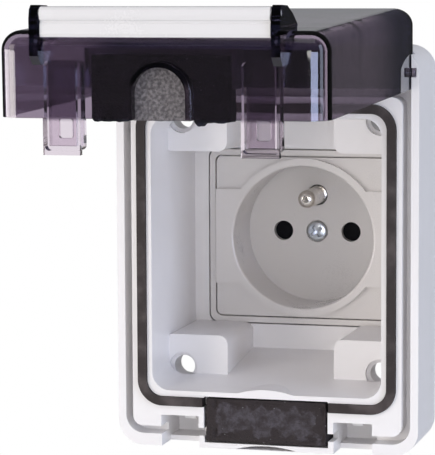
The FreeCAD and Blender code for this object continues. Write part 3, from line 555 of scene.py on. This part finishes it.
def dress(material: bpy.types.Material, *nodes: str) -> None:
    """Paints CAD nodes that keep their shape.

    Args:
        material: The finish.
        *nodes: The nodes' names.
    """
    for name in nodes:
        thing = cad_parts[name]
        thing.data.materials.clear()
        thing.data.materials.append(material)
        log.info("%s dressed in %s", name, material.name)


@dataclass(frozen=True)
class Slit:
    """A knife slit in the front of a foam block.

    The x and z are its middle, and the slope is its angle from level in radians.
    """

    x: float
    z: float
    length: float
    slope: float
    depth: float = 0.9 * MM
    width: float = 0.28 * MM

    def opening(self, at: Vector) -> float:
        """Depth of the slit at a point of the front.

        Args:
            at: The point.

        Returns:
            How far the surface is pushed in there.
        """
        along = (at.x - self.x) * math.cos(self.slope) + (at.z - self.z) * math.sin(self.slope)
        across = -(at.x - self.x) * math.sin(self.slope) + (at.z - self.z) * math.cos(self.slope)
        reach = max(0.0, 1.0 - (2.0 * abs(along) / self.length) ** 4)
        return self.depth * reach * math.exp(-((across / self.width) ** 2))


@dataclass
class FoamBlock:
    """A block of foam cut to an outline in X and Z, with ragged faces and knife slits in its front.

    The lump and the pit are the widths of its uneven places.
    """

    name: str
    outline: Sequence[Corner]
    front: float
    back: float
    voxel: float = 0.42 * MM
    ragged: float = 0.22 * MM
    lump: float = 3.1 * MM
    pit: float = 0.9 * MM
    slits: Sequence[Slit] = ()
    slit_reach: float = 1.5 * MM
    seed: float = 0.0

    def build(self) -> bpy.types.Object:
        """Makes the block.

        Returns:
            The foam as one object.
        """
        bm = bmesh.new()
        ring_loops(bm, [[(x, y, z) for x, z in self.outline] for y in (self.front, self.back)])
        rough = finish_mesh(self.name + "_block", bm)
        skin = rough.modifiers.new("skin", "REMESH")
        skin.mode = "VOXEL"
        skin.voxel_size = self.voxel
        graph = bpy.context.evaluated_depsgraph_get()
        graph.update()
        mesh = bpy.data.meshes.new_from_object(rough.evaluated_get(graph))
        bpy.data.objects.remove(rough)
        mesh.name = self.name
        self._wear(mesh)
        for polygon in mesh.polygons:
            polygon.use_smooth = True
        made = bpy.data.objects.new(self.name, mesh)
        bpy.context.scene.collection.objects.link(made)
        return made

    def _wear(self, mesh: bpy.types.Mesh) -> None:
        """Moves the vertices in, so that the faces are uneven and the slits open.

        Args:
            mesh: The remeshed block.
        """
        for vertex in mesh.vertices:
            at = vertex.co.copy()
            lumps = noise.noise(at / self.lump + Vector((self.seed, 0, 0)))
            pits = noise.noise(at / self.pit + Vector((0, self.seed, 0)))
            inward = self.ragged * (0.9 + 0.9 * lumps + 0.7 * pits)
            if at.y <= self.front + self.slit_reach:
                inward += sum(slit.opening(at) for slit in self.slits)
            vertex.co = at - vertex.normal * max(inward, 0.0)


@dataclass
class WallBox:
    """The moulded box with its gasket and the foam that the cable leaves through."""

    plastic: MouldedPlastic = MouldedPlastic((0.83, 0.815, 0.82), (0.70, 0.67, 0.65))
    rubber: Rubber = Rubber((0.034, 0.027, 0.026), (0.12, 0.10, 0.10))
    foam: Foam = Foam(
        (0.036, 0.029, 0.030), (0.082, 0.074, 0.086), 2.4 * MM, 0.25, 0.75, 0.3,
        (13.6 * MM, -47.6 * MM, -39.6 * MM),
    )
    slits: Sequence[Slit] = (
        Slit(-13.2 * MM, -39.2 * MM, 2.4 * MM, 1.5),
        Slit(-10.0 * MM, -39.4 * MM, 6.6 * MM, 0.04),
        Slit(-13.2 * MM, -46.6 * MM, 2.2 * MM, 1.6),
        Slit(-10.2 * MM, -47.4 * MM, 6.2 * MM, -0.04),
        Slit(12.0 * MM, -38.9 * MM, 6.8 * MM, 0.07),
        Slit(14.9 * MM, -40.0 * MM, 2.4 * MM, 1.55),
        Slit(11.8 * MM, -47.5 * MM, 6.6 * MM, 0.0),
        Slit(14.7 * MM, -46.8 * MM, 1.8 * MM, 1.5),
        Slit(0.0 * MM, -38.9 * MM, 8.0 * MM, 0.0),
    )

    def build(self) -> None:
        """Dresses the box and makes its foam."""
        dress(self.plastic.material("pale_plastic"), "base_housing")
        dress(self.rubber.material("gasket_rubber"), "rim_gasket")
        low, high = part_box("cable_foam")
        corners = [(low.x, low.z), (high.x, low.z), (high.x, high.z), (low.x, high.z)]
        block = FoamBlock("cable_foam_pad", corners, low.y, high.y, slits=self.slits, seed=3.0).build()
        settle(block, Body.BASE, self.foam.material("dark_foam"), "dark_foam", "cable_foam")


@dataclass
class Outlet:
    """The socket in the back of the box: cover, frame, pin, screws and the works behind."""

    cover: MouldedPlastic = MouldedPlastic(
        (0.74, 0.715, 0.70), (0.60, 0.57, 0.54), 0.3, 0.3 * MM, 0.003 * MM, 0.08
    )
    # Dark plastic of the works, made blacker and less shiny than such plastic is, as painted shade in the pin
    # holes.
    works: MouldedPlastic = MouldedPlastic((0.004, 0.004, 0.005), (0.012, 0.012, 0.012), 0.5, ior=1.15)
    zinc: Plated = Plated((0.62, 0.65, 0.66), (0.38, 0.40, 0.42), 0.3)
    nickel: Plated = Plated((0.70, 0.66, 0.60), (0.45, 0.41, 0.36), 0.22, (1.0, 14.0, 1.0))
    brass: Plated = Plated((0.83, 0.62, 0.28), (0.48, 0.34, 0.15), 0.3)
    head_sides: int = 64
    shank: float = 1.45 * MM
    cross_arm: float = 1.75 * MM
    cross_width: float = 0.42 * MM
    cross_depth: float = 0.9 * MM
    cross_turn: float = 38.0
    head_face: float = 0.3 * MM
    fine_head: float = 2.4 * MM

    def build(self) -> None:
        """Dresses the socket's nodes and makes the screw that holds its cover."""
        dress(self.cover.material("cover_plastic"), "socket_cover", "socket_frame")
        dress(self.works.material("dark_plastic"), "mechanism_housing", "mechanism_cover", "shutter")
        zinc = self.zinc.material("zinc")
        dress(zinc, "frame_screws", "mechanism_screws", "terminal_screws", "shutter_spring")
        dress(self.nickel.material("nickel"), "earth_pin")
        dress(self.brass.material("brass"), "earth_strap", "live_contact", "neutral_contact")
        settle(self._cover_screw(), Body.BASE, zinc, "zinc", "centre_screw")

    def _cover_screw(self) -> bpy.types.Object:
        """Turns the screw and presses the cross into its head.

        Returns:
            The screw.
        """
        low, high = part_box("centre_screw")
        middle = Vector(((low.x + high.x) / 2, low.y, (low.z + high.z) / 2))
        radius, length = (high.x - low.x) / 2, high.y - low.y
        head = [(0.02 * MM, 0.0), (0.6 * MM, 0.0), (1.2 * MM, 0.02 * MM), (1.9 * MM, 0.1 * MM),
                (radius * 0.86, 0.24 * MM), (radius * 0.97, 0.5 * MM), (radius, 0.8 * MM), (radius, 1.1 * MM)]
        profile = [*head, (self.shank, 1.7 * MM), (self.shank, length - 0.8 * MM), (0.5 * MM, length)]
        bm = bmesh.new()
        rings = []
        for reach, depth in self._finer(profile):
            ring = []
            for i in range(self.head_sides):
                angle = 2 * math.pi * i / self.head_sides
                x, z = reach * math.cos(angle), reach * math.sin(angle)
                ring.append((middle.x + x, middle.y + depth + self._cross(x, z, depth), middle.z + z))
            rings.append(ring)
        ring_loops(bm, rings)
        return finish_mesh("cover_screw", bm, 0.9)

    def _finer(self, profile: Sequence[Corner]) -> list[Corner]:
        """Adds points near the axis, where the cross is.

        Args:
            profile: Radius and depth of the head and shank.

        Returns:
            The same profile with short steps on the head.
        """
        made = [profile[0]]
        for (r0, d0), (r1, d1) in zip(profile, profile[1:]):
            steps = 6 if r0 < r1 < self.fine_head else 2
            made += [(r0 + (r1 - r0) * k / steps, d0 + (d1 - d0) * k / steps) for k in range(1, steps + 1)]
        return made

    def _cross(self, x: float, z: float, depth: float) -> float:
        """Depth of the cross recess at a place on the head.

        Args:
            x: Place from the axis.
            z: Place from the axis.
            depth: Depth of the head there.

        Returns:
            How far the head is pressed in.
        """
        if depth > self.head_face:
            return 0.0
        turn = math.radians(self.cross_turn)
        near, far = sorted((abs(x * math.cos(turn) + z * math.sin(turn)),
                            abs(z * math.cos(turn) - x * math.sin(turn))))
        if far > self.cross_arm or near > self.cross_width:
            return 0.0
        return self.cross_depth * (1 - far / self.cross_arm) ** 0.5


@dataclass
class Lid:
    """The smoked lid, with its grip bar, its two foams and the rib that holds them."""

    smoked: SmokedPlastic = SmokedPlastic()
    bar: MouldedPlastic = MouldedPlastic(
        (0.72, 0.71, 0.715), (0.56, 0.55, 0.54), 0.25, 0.5 * MM, 0.004 * MM, 0.08
    )
    dark: Foam = Foam((0.002, 0.002, 0.005), (0.02, 0.02, 0.032), 3 * MM, 0.45, 0.8, 0.4)
    light: Foam = Foam((0.075, 0.070, 0.075), (0.22, 0.205, 0.215), 0.8 * MM, 0.3, 0.75, 0.15)
    arch_steps: int = 28
    arch_gap: float = 0.25 * MM
    pin: float = 0.9 * MM
    pin_length: float = 2.0 * MM
    rib: float = 1.0 * MM
    rib_gap: float = 0.15 * MM
    rib_foot: float = 7.2 * MM
    tear_step: float = 0.7 * MM
    tear: float = 0.9 * MM
    crumb_drop: float = 1.3 * MM
    crumb_half: float = 0.8 * MM
    crumb_side: float = 8.3 * MM

    def build(self) -> None:
        """Dresses the lid and makes its foams."""
        smoked = self.smoked.material("smoked_plastic")
        dress(smoked, "lid_shell")
        settle(self._grip(), Body.BAR, self.bar.material("bar_plastic"), "bar_plastic", "grip_bar")
        settle(self._foam_rib(), Body.LID, smoked, "smoked_plastic")
        dark = settle(self._holder(), Body.LID, self.dark.material("lid_foam"), "dark_foam", "lid_foam")
        pale = self.light.material("light_foam")
        light = settle(self._arch_pad(), Body.LID, pale, "light_foam", "arch_foam")

    def _arch(self, half: float, foot: float, top: float) -> list[Corner]:
        """Outline of an arch: straight sides and a round head.

        Args:
            half: Half its width.
            foot: Height of its feet.
            top: Height of its crown.

        Returns:
            Its points.
        """
        turns = [math.pi * k / self.arch_steps for k in range(self.arch_steps + 1)]
        curve = [(-half * math.cos(turn), top - half + half * math.sin(turn)) for turn in turns]
        return [(-half, foot), *curve, (half, foot)]

    def _grip(self) -> bpy.types.Object:
        """The bar: a round bead above a groove, a flat strip below it and a pin at each end.

        Returns:
            The bar.
        """
        low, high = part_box("grip_bar")
        front, back, top, foot = low.y, high.y, high.z, low.z
        half = high.x - self.pin_length
        groove = (top + foot) / 2
        bead = [(back, top - 1.2 * MM), (back - 0.25 * MM, top - 0.45 * MM),
                (back - 0.8 * MM, top - 0.1 * MM), (front + 1.3 * MM, top),
                (front + 0.6 * MM, top - 0.2 * MM), (front + 0.15 * MM, top - 0.7 * MM),
                (front, top - 1.5 * MM)]
        slot = [(front + 0.04 * MM, groove + 0.75 * MM), (front + 0.2 * MM, groove + 0.45 * MM),
                (front + 0.62 * MM, groove + 0.25 * MM), (front + 0.62 * MM, groove - 0.15 * MM),
                (front + 0.4 * MM, groove - 0.4 * MM)]
        strip = [(front + 0.34 * MM, foot + 0.7 * MM), (front + 0.45 * MM, foot + 0.5 * MM),
                 (front + 0.5 * MM, foot + 0.1 * MM), (front + 0.8 * MM, foot),
                 (front + 1.5 * MM, foot + 0.05 * MM), (front + 1.75 * MM, foot + 0.4 * MM)]
        inside = [(front + 1.75 * MM, groove), (back - 0.35 * MM, groove + 0.6 * MM)]
        bm = bmesh.new()
        ring_loops(bm, [[(x, y, z) for y, z in (*bead, *slot, *strip, *inside)] for x in (-half, half)])
        middle = Vector(((front + back) / 2, top - (back - front) / 2))
        turns = [2 * math.pi * k / self.arch_steps for k in range(self.arch_steps)]
        circle = [(middle.x + self.pin * math.cos(a), middle.y + self.pin * math.sin(a)) for a in turns]
        reaches = (half - 0.5 * MM, high.x - 0.2 * MM, high.x)
        for end in (-1, 1):
            ring_loops(bm, [[(end * x, y, z) for y, z in circle] for x in reaches])
        return finish_mesh("grip_bar_moulding", bm, 0.5)

    def _foam_rib(self) -> bpy.types.Object:
        """The rib inside the lid that the dark foam sits in.

        Returns:
            The rib.
        """
        low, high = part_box("lid_foam")
        inner = high.x + self.rib_gap
        outer = inner + self.rib
        foot, roof = low.z + self.rib_foot, high.z + 0.2 * MM
        outline = [(-outer, foot), (-inner, foot), (-inner, roof), (inner, roof), (inner, foot),
                   (outer, foot), (outer, roof + self.rib), (-outer, roof + self.rib)]
        bm = bmesh.new()
        ring_loops(bm, [[(x, y, z) for x, z in outline] for y in (low.y - 0.1 * MM, high.y)])
        return finish_mesh("lid_foam_rib", bm)

    def _torn_edge(self, start: float, end: float, height: float) -> list[Corner]:
        """Ragged edge of torn foam, with one crumb that hangs down beside the arch.

        Args:
            start: Where it begins in X.
            end: Where it ends.
            height: Height of the straight edge.

        Returns:
            Its points.
        """
        count = round(abs(end - start) / self.tear_step)
        points = []
        for k in range(1, count):
            x = start + (end - start) * k / count
            drop = self.tear * abs(noise.noise(Vector((x / (1.3 * MM), 4.2, 0.0)))) ** 0.7
            crumb = self.crumb_drop * math.exp(-(((x - self.crumb_side) / self.crumb_half) ** 4))
            points.append((x, height - max(drop, crumb)))
        return points

    def _holder(self) -> bpy.types.Object:
        """The dark foam with an arch cut out of its lower edge.

        Returns:
            The foam.
        """
        low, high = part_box("lid_foam")
        inner_low, inner_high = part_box("arch_foam")
        half = (inner_high.x - inner_low.x) / 2 + self.arch_gap
        arch = self._arch(half, low.z, inner_high.z + 0.3 * MM)
        left = self._torn_edge(low.x, -half, low.z)
        right = self._torn_edge(half, high.x, low.z)
        outline = [(low.x, low.z), *left, *arch, *right, (high.x, low.z), (high.x, high.z), (low.x, high.z)]
        return FoamBlock("lid_foam_pad", outline, low.y, high.y, ragged=0.16 * MM, seed=7.0).build()

    def _arch_pad(self) -> bpy.types.Object:
        """The light foam plug in the arch.

        Returns:
            The foam.
        """
        low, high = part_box("arch_foam")
        outline = self._arch((high.x - low.x) / 2, low.z, high.z)
        plug = FoamBlock("arch_foam_pad", outline, low.y, high.y, voxel=0.3 * MM, ragged=0.18 * MM, seed=11.0)
        return plug.build()


@dataclass(frozen=True)
class Lamp:
    """An oblong soft lamp that is aimed at the box and hidden from the camera.

    The size is its width and height in metres, and the power is in watts. A card only shows as a reflection,
    as a white card beside the box does.
    """

    name: str
    place: Point
    size: tuple[float, float]
    power: float
    colour: Colour
    card: bool = False

    def hang(self) -> None:
        """Puts the lamp in the scene."""
        light = bpy.data.lights.new(self.name, "AREA")
        light.shape = "RECTANGLE"
        light.size, light.size_y = self.size
        light.energy = self.power
        light.color = self.colour
        lamp = bpy.data.objects.new(self.name, light)
        lamp.location = self.place
        lamp.rotation_mode = "QUATERNION"
        lamp.rotation_quaternion = (-Vector(self.place)).to_track_quat("-Z", "Y")
        lamp.visible_camera = False
        lamp.visible_transmission = False
        lamp.visible_diffuse = not self.card
        bpy.context.scene.collection.objects.link(lamp)


@dataclass
class Studio:
    """White surroundings, soft lamps and the camera."""

    lamps: Sequence[Lamp] = (
        Lamp("key_lamp", (-0.88, -0.97, 0.2), (0.5, 1.0), 6.1, (1.0, 0.925, 0.85)),
        Lamp("side_lamp", (1.2, -0.55, 0.2), (0.4, 1.3), 7.0, (0.69, 0.78, 1.0)),
        Lamp("top_lamp", (0.1, -0.6, 1.3), (0.9, 0.9), 2.8, (0.97, 0.98, 1.0)),
        Lamp("front_lamp", (0.1, -1.35, 0.1), (0.3, 0.3), 2.6, (1.0, 0.965, 0.93)),
        Lamp("back_card", (-0.42, 1.2, 0.22), (0.7, 0.2), 0.12, (0.95, 0.96, 1.0), card=True),
        Lamp("left_card", (-1.0, -0.65, -0.01), (1.4, 0.3), 11.5, (1.0, 0.96, 0.94), card=True),
        Lamp("right_card", (0.56, -1.08, -0.01), (0.8, 0.3), 9.5, (0.6, 0.68, 1.0), card=True),
    )
    sky: Colour = (0.95, 0.96, 1.0)
    mirrored_sky: Colour = (0.93, 0.95, 1.0)
    white: Colour = (1.0, 1.0, 1.0)
    black: Colour = (0.0, 0.0, 0.0)
    floor: Colour = (0.85, 0.85, 0.85)
    floor_radius: float = 1.2
    floor_height: float = -0.45
    azimuth: float = 15.4
    pitch: float = 6.2
    roll: float = 0.28
    distance: float = 0.6113
    focal_pixels: float = 2413.0
    sensor_width: float = 36.0
    near: float = 0.01
    far: float = 10.0
    target: Point = (-12.5 * MM, -23.4 * MM, 6.05 * MM)
    picture: tuple[int, int] = (435, 455)
    ambient: float = 0.57
    mirrored: float = 0.05

    def build(self) -> None:
        """Makes the surroundings, the lamps and the camera."""
        self._world()
        self._floor()
        for lamp in self.lamps:
            lamp.hang()
        self._camera()

    def _world(self) -> None:
        """White to the camera and through the lid, dim in reflections, and one level of light elsewhere."""
        world = bpy.data.worlds.new("surroundings")
        bpy.context.scene.world = world
        world.use_nodes = True
        tree = world.node_tree
        tree.nodes.clear()
        path = tree.nodes.new("ShaderNodeLightPath")
        end = tree.nodes.new("ShaderNodeOutputWorld")
        levels = (("Is Glossy Ray", self.mirrored_sky, self.mirrored),
                  ("Is Transmission Ray", self.white, 1.0),
                  ("Is Camera Ray", self.white, 1.0))
        shader = self._background(tree, self.sky, self.ambient)
        for ray, colour, strength in levels:
            mix = tree.nodes.new("ShaderNodeMixShader")
            tree.links.new(path.outputs[ray], mix.inputs[0])
            tree.links.new(shader.outputs[0], mix.inputs[1])
            tree.links.new(self._background(tree, colour, strength).outputs[0], mix.inputs[2])
            shader = mix
        tree.links.new(shader.outputs[0], end.inputs["Surface"])

    @staticmethod
    def _background(tree: bpy.types.NodeTree, colour: Colour, strength: float) -> bpy.types.ShaderNode:
        """Adds one level of light from all round.

        Args:
            tree: The world's node tree.
            colour: Its colour.
            strength: Its strength.

        Returns:
            The node.
        """
        made = tree.nodes.new("ShaderNodeBackground")
        made.inputs["Color"].default_value = (*colour, 1.0)
        made.inputs["Strength"].default_value = strength
        return made

    def _floor(self) -> None:
        """A plain pale floor, well below, because the box hangs on a wall."""
        bm = bmesh.new()
        bmesh.ops.create_circle(bm, cap_ends=True, segments=64, radius=self.floor_radius)
        bmesh.ops.translate(bm, verts=bm.verts, vec=(0, 0, self.floor_height))
        floor = finish_mesh("floor", bm)
        paint = Paint("floor_paint")
        seen = paint.node("ShaderNodeLightPath", output="Is Camera Ray")
        through = paint.node("ShaderNodeLightPath", output="Is Transmission Ray")
        glow = (seen + through).between(0.0, 1.0)
        floor.data.materials.append(paint.surface(
            base_color=paint.mix(glow, self.floor, self.black),
            emission_color=paint.mix(glow, self.black, self.white),
            emission_strength=1.0,
            specular_ior_level=0.0,
            roughness=1.0,
        ))

    def _camera(self) -> None:
        """Sets the camera where the photograph was taken from."""
        azimuth, pitch, roll = (math.radians(v) for v in (self.azimuth, self.pitch, self.roll))
        level = math.cos(pitch)
        forward = Vector((-math.sin(azimuth) * level, math.cos(azimuth) * level, -math.sin(pitch)))
        right = Vector((math.cos(azimuth), math.sin(azimuth), 0.0))
        up = right.cross(forward)
        turned_right = right * math.cos(roll) - up * math.sin(roll)
        turned_up = right * math.sin(roll) + up * math.cos(roll)
        lens = bpy.data.cameras.new("camera")
        lens.sensor_width = self.sensor_width
        lens.lens = self.focal_pixels * self.sensor_width / max(self.picture)
        lens.clip_start = self.near
        lens.clip_end = self.far
        camera = bpy.data.objects.new("camera", lens)
        basis = Matrix((turned_right, turned_up, -forward)).transposed().to_4x4()
        basis.translation = Vector(self.target) - forward * self.distance
        camera.matrix_world = basis
        bpy.context.scene.collection.objects.link(camera)
        bpy.context.scene.camera = camera


def main() -> None:
    """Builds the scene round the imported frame."""
    logging.basicConfig(level=logging.INFO, format="%(message)s")
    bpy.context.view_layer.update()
    bpy.context.scene.view_settings.view_transform = "Standard"
    for part in (WallBox(), Outlet(), Lid(), Studio()):
        part.build()


if __name__ == "__main__":
    main()
